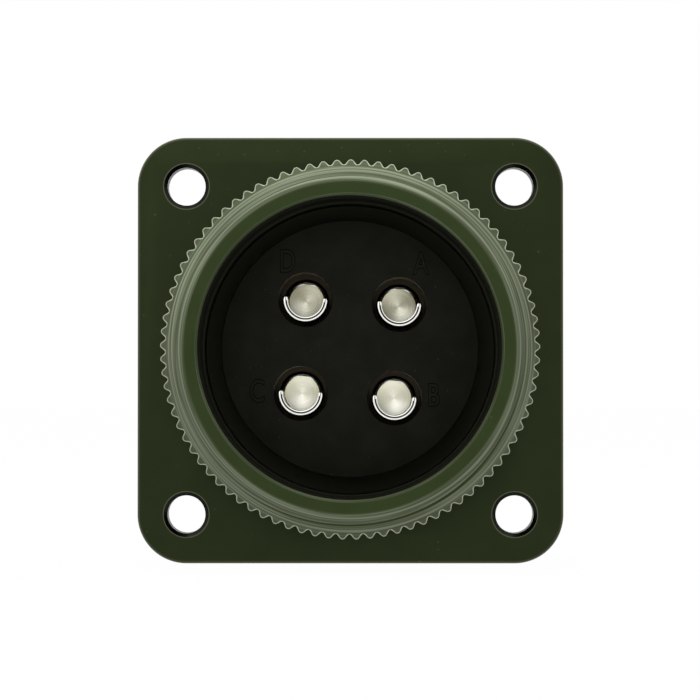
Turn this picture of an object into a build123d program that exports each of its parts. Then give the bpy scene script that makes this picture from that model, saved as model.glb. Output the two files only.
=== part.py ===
"""A wall mount receptacle: a circular power connector with a square flange, four size-12 socket contacts and
a solid end bell. Every piece is drawn about the lathe axis Z, where height 0 is the flange's rear face, +Z points
to the cable and +Y to the coupling key at twelve o'clock. The finished pieces are then stood up as on a wall, with
the axis level, the cable side towards -Y and the key at the top. All sizes are in millimetres."""

import math
import os

from build123d import *

# Threads: each threaded land is a plain cylinder at the thread's major diameter.
thread_pitch = 25.4 / 18
thread_relief_width = 1.3
coupling_thread_diameter = 31.75
thread_depth = 0.61 * thread_pitch

# Square flange.
flange_side = 38.1
flange_thickness = 2.77
flange_edge_break = 0.25
hole_spacing = 29.36
hole_diameter = 3.4
hole_countersink_diameter = 4.04

# Coupling barrel, in front of the flange.
coupling_length = 18.26
coupling_bore_diameter = 27.2
coupling_lead_chamfer = 0.9
rim_edge_break = 0.2
key_width = 3.18
key_height = 1.1
key_setback = 0.9
web_thickness = 3.0

# Spigot, behind the flange: it holds the inserts and takes the end bell.
spigot_length = 5.6
spigot_wall = 1.5
insert_seat_depth = 2.8
spigot_lead_chamfer = 0.7
lug_width = 2.0
lug_height = 0.8
lug_length = 5.8

# End bell.
bell_flange_gap = 0.4
bell_spigot_gap = 0.4
bell_rear_height = 17.0
bell_mouth_step = 0.12
bell_mouth_chamfer = 0.15
bell_lip_thickness = 0.8
rear_barrel_wall = 1.68
collar_wall = 1.19
knurl_teeth = 85
knurl_depth = 0.46
knurl_tip_share = 0.3
knurl_turn = 0.86
knurl_end_height = 6.2
knurl_front_chamfer = 0.35
collar_shoulder_step = 0.32
rear_thread_lead_chamfer = 0.88

# Inserts.
insert_flange_diameter = 26.6
insert_nose_diameter = 23.8
insert_face_setback = 0.86
insert_joint_height = 0.6
insert_turn = -2.9
moat_floor_height = 3.5
moat_width = 1.53
boss_height = 9.0
boss_edge_chamfer = 0.15
well_diameter = 4.74
well_floor_height = 3.0

# Liner sleeve, between the rear insert and the washer.
sleeve_wall = 0.62

# Contacts, on the corners of a square.
contact_names = ("a", "b", "c", "d")
contact_spacing = 8.13
contact_body_diameter = 3.7
shoulder_diameter = 4.6
shoulder_front_depth = 0.8
shoulder_rear_depth = 1.0
cup_diameter = 3.74
cup_bore_diameter = 3.06
cup_end_height = 9.2
cup_depth = 7.0
cup_floor_angle = 170.0
cup_cut_height = 0.3
cup_cutter_radius = 1.9
socket_bore_diameter = 2.42
socket_bore_depth = 10.4
socket_barrel_diameter = 3.1
barrel_length = 9.7
slot_width = 0.4
slot_length = 6.7

# Contact hoods.
hood_wall = 0.25
hood_setback = 0.9
hood_overhang = 0.3
hood_mouth_diameter = 2.8
hood_lip_thickness = 0.2

# Wave washer.
washer_thickness = 0.25
washer_rise = 0.33
washer_play = 0.01
washer_wall = 0.42

# Fits, each a clearance on the radius.
thread_fit = 0.05
insert_fit = 0.1
contact_fit = 0.1
hood_fit = 0.05
lug_fit = 0.15
cut_margin = 1.0

# Heights that follow from the sizes above.
flange_front = -flange_thickness
coupling_front = -coupling_length
insert_seat_height = -insert_seat_depth
web_front = insert_seat_height - web_thickness
insert_face_height = coupling_front + insert_face_setback
seat_radius = insert_flange_diameter / 2 + insert_fit
lip_underside = bell_rear_height - bell_lip_thickness
sleeve_end = lip_underside - washer_thickness - washer_rise - 2 * washer_play
shoulder_front = insert_joint_height - shoulder_front_depth
shoulder_rear = insert_joint_height + shoulder_rear_depth
hood_front = insert_face_height + hood_setback
socket_front_height = hood_front + hood_overhang
barrel_step = socket_front_height + barrel_length

# Radii that follow, from the insert's seat outwards and inwards.
spigot_radius = seat_radius + spigot_wall
spigot_room = spigot_radius + thread_fit
rear_thread_radius = seat_radius + rear_barrel_wall
knurl_root_radius = spigot_room + collar_wall
knurl_tip_radius = knurl_root_radius + knurl_depth
shoulder_radius = rear_thread_radius + collar_shoulder_step
collar_end = knurl_end_height + knurl_tip_radius - shoulder_radius
sleeve_bore = insert_flange_diameter / 2 - sleeve_wall
boss_radius = sleeve_bore - moat_width
mouth_radius = sleeve_bore + bell_mouth_step


def turned(*outline):
    """Revolve a closed outline of (radius, height) points about the connector's axis."""
    return revolve(Plane.XZ * make_face(Polyline(*outline, close=True)), Axis.Z)


def tube(inner_radius, outer_radius, low, high):
    """A plain tube on the connector's axis."""
    return turned((inner_radius, low), (outer_radius, low), (outer_radius, high), (inner_radius, high))


def rod(radius, low, high):
    """A plain rod on the connector's axis."""
    return turned((0, low), (radius, low), (radius, high), (0, high))


def contact_places():
    """The contact centres, lettered clockwise as seen from the rear, the first at the upper right."""
    half = contact_spacing / 2
    corners = ((half, half), (half, -half), (-half, -half), (-half, half))
    return [Rot(0, 0, insert_turn) * Pos(x, y, 0) for x, y in corners]


def flange():
    """The square plate with rounded corners, its edges broken and its four holes countersunk at the rear."""
    corner_radius = (flange_side - hole_spacing) / 2
    plate = extrude(RectangleRounded(flange_side, flange_side, corner_radius), -flange_thickness)
    rims = plate.faces().sort_by(Axis.Z)[0].edges() + plate.faces().sort_by(Axis.Z)[-1].edges()
    plate = chamfer(rims, flange_edge_break)
    hole_radius = hole_diameter / 2
    rim_radius = hole_countersink_diameter / 2
    sink = rim_radius - hole_radius
    hole = turned(
        (0, cut_margin), (rim_radius, cut_margin), (rim_radius, 0), (hole_radius, -sink),
        (hole_radius, flange_front - cut_margin), (0, flange_front - cut_margin),
    )
    return plate - [place * hole for place in GridLocations(hole_spacing, hole_spacing, 2, 2)]


def shell_bodywork():
    """The turned outside of the shell: coupling barrel, its thread relief, and the spigot with another."""
    coupling_radius = coupling_thread_diameter / 2
    coupling_relief = coupling_radius - thread_depth
    spigot_relief = spigot_radius - thread_depth
    return turned(
        (0, coupling_front), (coupling_radius - coupling_lead_chamfer, coupling_front),
        (coupling_radius, coupling_front + coupling_lead_chamfer),
        (coupling_radius, flange_front - thread_relief_width),
        (coupling_relief, flange_front - thread_relief_width), (coupling_relief, 0),
        (spigot_relief, 0), (spigot_relief, thread_relief_width), (spigot_radius, thread_relief_width),
        (spigot_radius, spigot_length - spigot_lead_chamfer),
        (spigot_radius - spigot_lead_chamfer, spigot_length), (0, spigot_length),
    )


def shell_bore():
    """The space inside the shell: the plug's room in front, the web's bore and the seat for the inserts."""
    bore_radius = coupling_bore_diameter / 2
    nose_radius = insert_nose_diameter / 2 + insert_fit
    return turned(
        (0, coupling_front - cut_margin), (bore_radius + rim_edge_break, coupling_front - cut_margin),
        (bore_radius + rim_edge_break, coupling_front), (bore_radius, coupling_front + rim_edge_break),
        (bore_radius, web_front), (nose_radius, web_front), (nose_radius, insert_seat_height),
        (seat_radius, insert_seat_height), (seat_radius, spigot_length + cut_margin),
        (0, spigot_length + cut_margin),
    )


def inward_rib(outer_radius, width, height, low, high):
    """A straight rib at twelve o'clock that stands inwards from a bore and is rooted in its wall."""
    root = outer_radius + rim_edge_break
    inner = outer_radius - height
    block = Pos(0, (root + inner) / 2, (low + high) / 2) * Box(width, root - inner, high - low)
    return block


def coupling_shell():
    """Flange, coupling barrel, web and spigot in one piece, with the plug's key and the inserts' lug."""
    shell = flange() + shell_bodywork() - shell_bore()
    key = inward_rib(
        coupling_bore_diameter / 2, key_width, key_height, coupling_front + key_setback, web_front
    )
    lug = inward_rib(seat_radius, lug_width, lug_height, insert_seat_height, insert_seat_height + lug_length)
    return shell + key + Rot(0, 0, insert_turn) * lug


def tooth_point(radius, turn):
    """A point at a radius and at a turn about the axis, in degrees."""
    return (radius * math.cos(math.radians(turn)), radius * math.sin(math.radians(turn)))


def knurl_section():
    """The knurl's cross-section: straight flanks from a sharp root to a narrow flat tip on each tooth."""
    pitch = 360 / knurl_teeth
    half_tip = knurl_tip_share * pitch / 2
    corners = []
    for tooth in range(knurl_teeth):
        middle = tooth * pitch + knurl_turn
        corners.append(tooth_point(knurl_root_radius, middle - pitch / 2))
        corners.append(tooth_point(knurl_tip_radius, middle - half_tip))
        corners.append(tooth_point(knurl_tip_radius, middle + half_tip))
    return make_face(Polyline(*corners, close=True))


def knurled_collar():
    """The toothed collar: its teeth run out on a wide chamfer at the rear and a small one at the front."""
    clear_radius = knurl_tip_radius + thread_fit
    envelope = turned(
        (0, bell_flange_gap), (knurl_tip_radius - knurl_front_chamfer, bell_flange_gap),
        (clear_radius, bell_flange_gap + knurl_front_chamfer + thread_fit),
        (clear_radius, knurl_end_height - thread_fit), (shoulder_radius, collar_end), (0, collar_end),
    )
    teeth = Pos(0, 0, bell_flange_gap) * extrude(knurl_section(), collar_end - bell_flange_gap)
    return teeth & envelope


def rear_barrel():
    """The bell's barrel behind the collar: a thread relief, the rear thread's land and its lead chamfer."""
    relief_radius = rear_thread_radius - thread_depth
    thread_start = collar_end + thread_relief_width
    return turned(
        (0, knurl_end_height), (relief_radius, knurl_end_height), (relief_radius, thread_start),
        (rear_thread_radius, thread_start + thread_depth),
        (rear_thread_radius, bell_rear_height - rear_thread_lead_chamfer),
        (rear_thread_radius - rear_thread_lead_chamfer, bell_rear_height), (0, bell_rear_height),
    )


def bell_bore():
    """The space inside the bell: the spigot's thread room, the pocket for the sleeve and the mouth."""
    step_height = spigot_length + bell_spigot_gap
    return turned(
        (0, bell_flange_gap - cut_margin), (spigot_room, bell_flange_gap - cut_margin),
        (spigot_room, step_height), (seat_radius, step_height), (seat_radius, lip_underside),
        (mouth_radius, lip_underside), (mouth_radius, bell_rear_height - bell_mouth_chamfer),
        (mouth_radius + bell_mouth_chamfer, bell_rear_height),
        (mouth_radius + bell_mouth_chamfer, bell_rear_height + cut_margin),
        (0, bell_rear_height + cut_margin),
    )


def end_bell():
    """Knurled collar and threaded barrel in one piece, screwed onto the spigot."""
    return knurled_collar() + rear_barrel() - bell_bore()


def lug_notch(low, high):
    """The notch that lets an insert slide over the shell's lug."""
    outer = seat_radius + cut_margin
    inner = seat_radius - lug_height - lug_fit
    width = lug_width + 2 * lug_fit
    return Pos(0, (outer + inner) / 2, (low + high) / 2) * Box(width, outer - inner, high - low)


def front_insert():
    """The moulding that faces the plug: a nose through the web and a flange behind it, with four cavities."""
    nose_radius = insert_nose_diameter / 2
    flange_radius = insert_flange_diameter / 2
    body = turned(
        (0, insert_face_height), (nose_radius, insert_face_height), (nose_radius, insert_seat_height),
        (flange_radius, insert_seat_height), (flange_radius, insert_joint_height), (0, insert_joint_height),
    )
    cavity_radius = contact_body_diameter / 2 + contact_fit
    recess_radius = shoulder_diameter / 2 + contact_fit
    cavity = turned(
        (0, insert_face_height - cut_margin), (cavity_radius, insert_face_height - cut_margin),
        (cavity_radius, shoulder_front), (recess_radius, shoulder_front),
        (recess_radius, insert_joint_height + cut_margin), (0, insert_joint_height + cut_margin),
    )
    notch = Rot(0, 0, insert_turn) * lug_notch(insert_seat_height - cut_margin, insert_joint_height + cut_margin)
    return body - [place * cavity for place in contact_places()] - notch


def rear_insert():
    """The moulding seen from behind: a flange that the sleeve stands on, and a boss with four wells."""
    flange_radius = insert_flange_diameter / 2
    body = turned(
        (0, insert_joint_height), (flange_radius, insert_joint_height),
        (flange_radius, moat_floor_height), (boss_radius, moat_floor_height),
        (boss_radius, boss_height - boss_edge_chamfer), (boss_radius - boss_edge_chamfer, boss_height),
        (0, boss_height),
    )
    well_radius = well_diameter / 2
    hole_radius = cup_diameter / 2 + contact_fit
    recess_radius = shoulder_diameter / 2 + contact_fit
    cavity = turned(
        (0, insert_joint_height - cut_margin), (recess_radius, insert_joint_height - cut_margin),
        (recess_radius, shoulder_rear), (hole_radius, shoulder_rear), (hole_radius, well_floor_height),
        (well_radius, well_floor_height), (well_radius, boss_height + cut_margin),
        (0, boss_height + cut_margin),
    )
    notch = Rot(0, 0, insert_turn) * lug_notch(insert_joint_height - cut_margin, moat_floor_height + cut_margin)
    return body - [place * cavity for place in contact_places()] - notch


def liner_sleeve():
    """The thin black tube that lines the end bell and presses the inserts home."""
    return tube(sleeve_bore, insert_flange_diameter / 2, moat_floor_height, sleeve_end)


def contact_blank():
    """The turned outside of a contact: socket barrel, body, shoulder and solder cup."""
    return turned(
        (0, socket_front_height), (socket_barrel_diameter / 2, socket_front_height),
        (socket_barrel_diameter / 2, barrel_step), (contact_body_diameter / 2, barrel_step),
        (contact_body_diameter / 2, shoulder_front), (shoulder_diameter / 2, shoulder_front),
        (shoulder_diameter / 2, shoulder_rear), (cup_diameter / 2, shoulder_rear),
        (cup_diameter / 2, cup_end_height), (0, cup_end_height),
    )


def contact():
    """One contact: a slotted socket in front, and a solder cup with its upper half milled away behind."""
    bore_radius = cup_bore_diameter / 2
    cup_floor = cup_end_height - cup_depth
    drill_point = bore_radius / math.tan(math.radians(cup_floor_angle / 2))
    cup_bore = turned(
        (0, cup_floor - drill_point), (bore_radius, cup_floor), (bore_radius, cup_end_height + cut_margin),
        (0, cup_end_height + cut_margin),
    )
    cutter_height = cup_floor + cup_cut_height + cup_cutter_radius
    cut_top = cup_end_height + cut_margin
    cutter = Cylinder(cup_cutter_radius, 2 * cup_diameter, rotation=(0, 90, 0))
    run_out = Box(2 * cup_diameter, 2 * cup_cutter_radius, cut_top - cutter_height)
    cutaway = Pos(0, cup_cutter_radius, cutter_height) * cutter
    cutaway += Pos(0, cup_cutter_radius, (cutter_height + cut_top) / 2) * run_out
    socket_bore = rod(
        socket_bore_diameter / 2, socket_front_height - cut_margin, socket_front_height + socket_bore_depth
    )
    slot = Pos(0, 0, socket_front_height + slot_length / 2) * Box(2 * contact_body_diameter, slot_width, slot_length)
    return contact_blank() - cup_bore - cutaway - socket_bore - slot


def contact_hood():
    """The thin sleeve over the split socket, with its front edge turned in to guide the pin."""
    inner = socket_barrel_diameter / 2 + hood_fit
    outer = inner + hood_wall
    lip_radius = hood_mouth_diameter / 2
    lip_top = hood_front + hood_lip_thickness
    return turned(
        (lip_radius, hood_front), (outer, hood_front), (outer, barrel_step), (inner, barrel_step),
        (inner, lip_top), (lip_radius, lip_top),
    )


def wave_washer():
    """A spring washer bent about one line, so that it is lowest along X = 0 and highest at its two sides."""
    outer = insert_flange_diameter / 2
    inner = outer - washer_wall
    bend_radius = (outer**2 + washer_rise**2) / (2 * washer_rise)
    bottom = sleeve_end + washer_play
    bend_centre = bottom + bend_radius
    sheet = Circle(bend_radius) - Circle(bend_radius - washer_thickness)
    sheet = Plane.XZ * Pos(0, bend_centre) * sheet
    curved = extrude(sheet, outer + cut_margin, both=True)
    return curved & tube(inner, outer, bottom - cut_margin, lip_underside)


def main():
    pieces = {
        "coupling_shell": coupling_shell(),
        "end_bell": end_bell(),
        "front_insert": front_insert(),
        "rear_insert": rear_insert(),
        "liner_sleeve": liner_sleeve(),
        "wave_washer": wave_washer(),
    }
    for name, place in zip(contact_names, contact_places()):
        pieces[f"contact_{name}"] = place * contact()
        pieces[f"contact_hood_{name}"] = place * contact_hood()
    stand_up = Rot(90, 0, 0)
    os.makedirs("parts", exist_ok=True)
    for name, shape in pieces.items():
        export_step(stand_up * shape, f"parts/{name}.step")


main()
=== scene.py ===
# %% [markdown]
# # A wall mount receptacle, dressed in Blender
#
# The object is a round power connector on a square flange, seen from behind, where the wires are soldered on.
# Its construction is already settled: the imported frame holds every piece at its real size. Here each piece gets
# the surface that a camera sees: smooth turned edges, cut threads, a sharp knurl, and the finishes of plated
# aluminium, moulded plastic and silvered brass. Everything is in metres and in the frame's own coordinates.

# %% Load the frame
import math

import bpy
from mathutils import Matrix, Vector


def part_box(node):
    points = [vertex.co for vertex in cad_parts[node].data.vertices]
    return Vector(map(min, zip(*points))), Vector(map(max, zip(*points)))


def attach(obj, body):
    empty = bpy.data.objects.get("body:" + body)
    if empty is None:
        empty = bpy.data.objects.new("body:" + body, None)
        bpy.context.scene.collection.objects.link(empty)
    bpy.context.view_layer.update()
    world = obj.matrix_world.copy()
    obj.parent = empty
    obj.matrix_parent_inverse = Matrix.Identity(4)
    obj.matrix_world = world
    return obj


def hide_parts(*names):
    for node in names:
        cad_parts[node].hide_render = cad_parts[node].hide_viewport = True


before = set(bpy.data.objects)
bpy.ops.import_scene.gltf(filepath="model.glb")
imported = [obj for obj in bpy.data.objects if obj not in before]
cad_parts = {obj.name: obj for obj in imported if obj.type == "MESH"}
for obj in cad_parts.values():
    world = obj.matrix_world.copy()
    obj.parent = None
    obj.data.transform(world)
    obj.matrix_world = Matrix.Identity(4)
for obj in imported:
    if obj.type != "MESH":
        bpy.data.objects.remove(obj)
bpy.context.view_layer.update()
print("frame:", len(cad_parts), "nodes")

# %% [markdown]
# ## Sizes
#
# The overall places come from the frame, so a piece made here always lands where its node is. The smaller sizes,
# which a box can't tell, are named once and given in millimetres times MM. SIDES is how many flats a turned
# surface has. At 192 a circle looks round even when it fills the picture.
#
# The connector hangs on a wall, so its axis lies level along Y. It is easier to model a turned part upright, so
# each piece is drawn about Z, with its height measured from the flange's rear face towards the cable, and is laid
# down at the end. That is why a height is read from the frame as minus Y.

# %% Places from the frame, and the sizes of turned surfaces
MM = 0.001
SIDES = 192
MARGIN = 1.0 * MM


def node_size(name):
    """A node's half width and its lowest and highest place along the connector's axis."""
    low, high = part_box(name)
    return high.x, -high.y, -low.y


flange_half, front_rim, spigot_end = node_size("coupling_shell")
_, collar_start, bell_end = node_size("end_bell")
front_radius, face_height, joint_height = node_size("front_insert")
rear_radius, _, boss_height = node_size("rear_insert")
sleeve_radius, moat_floor, sleeve_end = node_size("liner_sleeve")
_, socket_front, cup_end = node_size("contact_a")

PITCH = 25.4 / 18 * MM
THREAD_DEPTH = 0.61 * PITCH
FLANGE_THICKNESS = 2.77 * MM
HOLE_SPACING = 29.36 * MM
print("flange", round(flange_half * 2 / MM, 2), "mm square, overall length",
      round((bell_end - front_rim) / MM, 2), "mm")

# %% [markdown]
# ## Turning
#
# Most of a connector is made on a lathe. A lathe part is one outline swept round an axis, so the helper starts
# from a circle and extrudes it from ring to ring: each extrusion is moved up and scaled out to the next point of
# the outline. An outline whose ends lie on the axis would need a point there, so its first and last rings are
# filled with flat faces instead. A Spin would do the same, but rings keep the faces in neat order.


# %% Helpers for turned pieces and blocks
def start_fresh():
    """Leave edit mode and deselect everything, so that an operator only meets the new piece."""
    if bpy.context.object and bpy.context.object.mode != "OBJECT":
        bpy.ops.object.mode_set(mode="OBJECT")
    bpy.ops.object.select_all(action="DESELECT")


def choose(piece):
    """Make a piece the only selected and the active one, which is what the next operator works on."""
    start_fresh()
    piece.select_set(True)
    bpy.context.view_layer.objects.active = piece


def settle(piece):
    """Put the piece's place and turn into its mesh, so that its object sits at the origin."""
    choose(piece)
    bpy.ops.object.transform_apply(location=True, rotation=True, scale=True)


def block(name, size, place):
    """A cube that is scaled to a size and put at a place."""
    start_fresh()
    bpy.ops.mesh.primitive_cube_add(size=1)
    piece = bpy.context.object
    piece.name = name
    piece.scale = size
    piece.location = place
    settle(piece)
    return piece


def lay_down(piece):
    """Lay a finished piece down, so that what was up now points out of the wall."""
    piece.rotation_euler.x = math.radians(90)
    settle(piece)


def pick(piece, wanted):
    """Select the vertices that are wanted and nothing else, for the next step in edit mode."""
    for edge in piece.data.edges:
        edge.select = False
    for face in piece.data.polygons:
        face.select = False
    for vertex in piece.data.vertices:
        vertex.select = wanted(vertex)


def turned(name, outline, tube=False):
    """Turn an outline of (radius, height) points about Z. A tube's outline closes on itself."""
    start_fresh()
    radius, height = outline[0]
    fill = "NOTHING" if tube else "NGON"
    bpy.ops.mesh.primitive_circle_add(vertices=SIDES, radius=radius, fill_type=fill)
    piece = bpy.context.object
    piece.name = name
    piece.location.z = height
    settle(piece)
    bpy.ops.object.mode_set(mode="EDIT")
    bpy.ops.mesh.select_all(action="SELECT")
    if not tube:
        bpy.ops.mesh.select_mode(type="EDGE")
    route = outline[1:] + (outline[:1] if tube else [])
    for next_radius, next_height in route:
        bpy.ops.mesh.extrude_region_move(
            TRANSFORM_OT_translate={"value": (0, 0, next_height - height)}
        )
        grow = next_radius / radius
        bpy.ops.transform.resize(value=(grow, grow, 1), center_override=(0, 0, 0))
        radius, height = next_radius, next_height
    bpy.ops.mesh.select_all(action="SELECT")
    bpy.ops.mesh.remove_doubles(threshold=1e-7)
    bpy.ops.mesh.normals_make_consistent(inside=False)
    bpy.ops.object.mode_set(mode="OBJECT")
    return piece


def finish_modifier(piece, kind, **settings):
    """Add one modifier, set it and apply it."""
    choose(piece)
    modifier = piece.modifiers.new(kind.title(), kind)
    for key, value in settings.items():
        setattr(modifier, key, value)
    bpy.ops.object.modifier_apply(modifier=modifier.name)
    return piece


def join_solids(piece, tool, operation="DIFFERENCE"):
    """Cut a tool out of a piece, join it on, or keep what they share. The tool is used up."""
    finish_modifier(piece, "BOOLEAN", operation=operation, object=tool, solver="MANIFOLD")
    bpy.data.objects.remove(tool)
    return piece


def soften(piece, width, angle=30, segments=2):
    """Break the sharp edges with a small bevel, which is what catches the light on a real part."""
    return finish_modifier(
        piece, "BEVEL", width=width, segments=segments, limit_method="ANGLE",
        angle_limit=math.radians(angle), harden_normals=False,
    )


def smooth(piece, angle=35):
    """Shade the turned faces smooth and keep the real edges."""
    choose(piece)
    bpy.ops.object.shade_smooth_by_angle(angle=math.radians(angle))
    return piece


def report(piece):
    """Say what was made."""
    size = piece.dimensions / MM
    print(f"{piece.name}: {len(piece.data.polygons)} faces, {size.x:.2f} x {size.y:.2f} x {size.z:.2f} mm")


print("helpers ready, a turned surface has", SIDES, "flats")

# %% [markdown]
# ## Threads
#
# A thread is a groove that climbs one pitch for each turn. A flat four-cornered section is placed beside the
# axis, narrowed on its inner side, and swept upwards by a Screw modifier. The swept bar is then the tool that
# cuts the groove, as a lathe's threading tool does. Its ends run out past the land, into the relief or the air.


# %% The threading tool
def thread_tool(name, major_radius, low, high):
    """A right-handed bar of V section that cuts a thread from one height up to another."""
    start_fresh()
    reach = 0.1 * MM
    width = PITCH * 7 / 8 + 2 * reach * math.tan(math.radians(30))
    depth = THREAD_DEPTH + reach
    middle = major_radius + reach - depth / 2
    bpy.ops.mesh.primitive_plane_add(size=1, rotation=(math.pi / 2, 0, 0))
    bar = bpy.context.object
    bar.name = name
    bar.scale = (depth, width, 1)
    bar.location = (middle, 0, low)
    settle(bar)
    pick(bar, lambda vertex: vertex.co.x < middle)
    bpy.ops.object.mode_set(mode="EDIT")
    bpy.ops.mesh.select_mode(type="VERT")
    bpy.ops.transform.resize(value=(1, 1, PITCH / 8 / width), center_override=(middle, 0, low))
    bpy.ops.mesh.select_all(action="SELECT")
    bpy.ops.mesh.delete(type="ONLY_FACE")
    bpy.ops.object.mode_set(mode="OBJECT")
    turns = math.ceil((high - low) / PITCH)
    finish_modifier(
        bar, "SCREW", axis="Z", angle=2 * math.pi, screw_offset=PITCH, iterations=turns,
        steps=96, render_steps=96, use_merge_vertices=False,
    )
    bpy.ops.object.mode_set(mode="EDIT")
    bpy.ops.mesh.select_all(action="SELECT")
    bpy.ops.mesh.fill_holes(sides=4)
    bpy.ops.mesh.normals_make_consistent(inside=False)
    bpy.ops.object.mode_set(mode="OBJECT")
    return bar


print("thread pitch", round(PITCH / MM, 3), "mm, depth", round(THREAD_DEPTH / MM, 3), "mm")

# %% [markdown]
# ## The coupling shell
#
# Flange and barrels are one piece of aluminium. The plate starts as a cube whose four upright edges are beveled
# into the round corners, and whose rims get a small break. The barrels are turned, joined to the plate, bored
# out, and threaded. The four holes are cut with a turned tool that carries both shallow countersinks. The thin
# barrel towards the cable is the spigot. The end bell hides its thread, so it stays plain here.

# %% The flange plate
CORNER_RADIUS = flange_half - HOLE_SPACING / 2
PLATE_BREAK = 0.25 * MM
plate_size = (2 * flange_half, 2 * flange_half, FLANGE_THICKNESS)
shell = block("coupling_shell_body", plate_size, (0, 0, -FLANGE_THICKNESS / 2))
bpy.ops.object.mode_set(mode="EDIT")
bpy.ops.mesh.select_mode(type="EDGE")
bpy.ops.mesh.select_all(action="DESELECT")
bpy.ops.object.mode_set(mode="OBJECT")
for edge in shell.data.edges:
    first, last = (shell.data.vertices[i].co for i in edge.vertices)
    edge.select = abs(first.z - last.z) > FLANGE_THICKNESS / 2
bpy.ops.object.mode_set(mode="EDIT")
bpy.ops.mesh.bevel(offset=CORNER_RADIUS, offset_type="OFFSET", segments=24, affect="EDGES")
bpy.ops.object.mode_set(mode="OBJECT")
soften(shell, PLATE_BREAK, angle=60, segments=3)
report(shell)

# %% The barrels and the bore
COUPLING_RADIUS = 15.875 * MM
COUPLING_LEAD = 0.9 * MM
RELIEF_WIDTH = 1.3 * MM
SPIGOT_RADIUS = 14.9 * MM
SPIGOT_LEAD = 0.7 * MM
COUPLING_BORE = 13.6 * MM
RIM_BREAK = 0.2 * MM
SEAT_DEPTH = 2.8 * MM
WEB_THICKNESS = 3.0 * MM
INSERT_FIT = 0.1 * MM

flange_front = -FLANGE_THICKNESS
seat_radius = rear_radius + INSERT_FIT
seat_height = -SEAT_DEPTH
web_front = seat_height - WEB_THICKNESS
NOSE_RADIUS = 11.9 * MM
coupling_relief = COUPLING_RADIUS - THREAD_DEPTH
spigot_relief = SPIGOT_RADIUS - THREAD_DEPTH
relief_top = flange_front - RELIEF_WIDTH

barrels = turned("barrels", [
    (COUPLING_RADIUS - COUPLING_LEAD, front_rim),
    (COUPLING_RADIUS, front_rim + COUPLING_LEAD),
    (COUPLING_RADIUS, relief_top),
    (coupling_relief, relief_top),
    (coupling_relief, flange_front / 2),
    (spigot_relief, flange_front / 2),
    (spigot_relief, RELIEF_WIDTH),
    (SPIGOT_RADIUS, RELIEF_WIDTH),
    (SPIGOT_RADIUS, spigot_end - SPIGOT_LEAD),
    (SPIGOT_RADIUS - SPIGOT_LEAD, spigot_end),
])
join_solids(shell, barrels, "UNION")
bore = turned("bore", [
    (COUPLING_BORE + RIM_BREAK + MARGIN, front_rim - MARGIN),
    (COUPLING_BORE, front_rim + RIM_BREAK),
    (COUPLING_BORE, web_front),
    (NOSE_RADIUS + INSERT_FIT, web_front),
    (NOSE_RADIUS + INSERT_FIT, seat_height),
    (seat_radius, seat_height),
    (seat_radius, spigot_end + MARGIN),
])
join_solids(shell, bore)
report(shell)

# %% The coupling key
KEY_WIDTH = 3.18 * MM
KEY_HEIGHT = 1.1 * MM
KEY_SETBACK = 0.9 * MM
KEY_BREAK = 0.2 * MM
key_low = front_rim + KEY_SETBACK
key_root = COUPLING_BORE + 2 * RIM_BREAK
key_inner = COUPLING_BORE - KEY_HEIGHT
key_size = (KEY_WIDTH, key_root - key_inner, web_front - key_low + RIM_BREAK)
key = block("key", key_size, (0, (key_root + key_inner) / 2, (web_front + key_low + RIM_BREAK) / 2))
soften(key, KEY_BREAK, segments=3)
join_solids(shell, key, "UNION")
report(shell)

# %% The four mounting holes
HOLE_RADIUS = 1.7 * MM
SINK_RADIUS = 2.02 * MM
for side_x in (-1, 1):
    for side_y in (-1, 1):
        sink = SINK_RADIUS - HOLE_RADIUS
        drill = turned("drill", [
            (SINK_RADIUS + MARGIN, flange_front - MARGIN),
            (HOLE_RADIUS, flange_front + sink),
            (HOLE_RADIUS, -sink),
            (SINK_RADIUS + MARGIN, MARGIN),
        ])
        drill.location = (side_x * HOLE_SPACING / 2, side_y * HOLE_SPACING / 2, 0)
        settle(drill)
        join_solids(shell, drill)
print("four holes,", 2 * HOLE_RADIUS / MM, "mm")

# %% The coupling thread
coupling_tool = thread_tool("coupling_tool", COUPLING_RADIUS, front_rim - PITCH, relief_top - PITCH / 4)
join_solids(shell, coupling_tool)
smooth(shell)
lay_down(shell)
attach(shell, "root")
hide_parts("coupling_shell")
report(shell)

# %% [markdown]
# ## The end bell
#
# The bell's collar has a straight knurl of 85 teeth, to be gripped while it is screwed on. The knurl starts as a
# circle with twelve points for each tooth. Every twelfth point is a root, and the others are scaled outwards,
# phase by phase, into a soft wave with a broad tip. The wave is a smooth step, because a material can work out the
# same step again and so find the teeth's outline. The prism is then cut to the collar's turned form, which makes
# the teeth run out on the wide chamfer as they do on the real one.

# %% The knurl
KNURL_TEETH = 85
POINTS_PER_TOOTH = 12
KNURL_TURN = math.radians(1.91)
TIP_RADIUS = 16.6 * MM
KNURL_DEPTH = 0.46 * MM
TIP_SPREAD = 0.1
SHOULDER_RADIUS = 15.4 * MM
KNURL_END = 6.2 * MM
collar_end = KNURL_END + TIP_RADIUS - SHOULDER_RADIUS
root_radius = TIP_RADIUS - KNURL_DEPTH


def tooth_share(phase):
    """How far a point of the tooth stands out, from 0 at the root to 1 on the tip."""
    from_tip = abs(1 - 2 * phase / POINTS_PER_TOOTH)
    step = min(1, (1 - from_tip) / (1 - TIP_SPREAD))
    return step * step * (3 - 2 * step)


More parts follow.
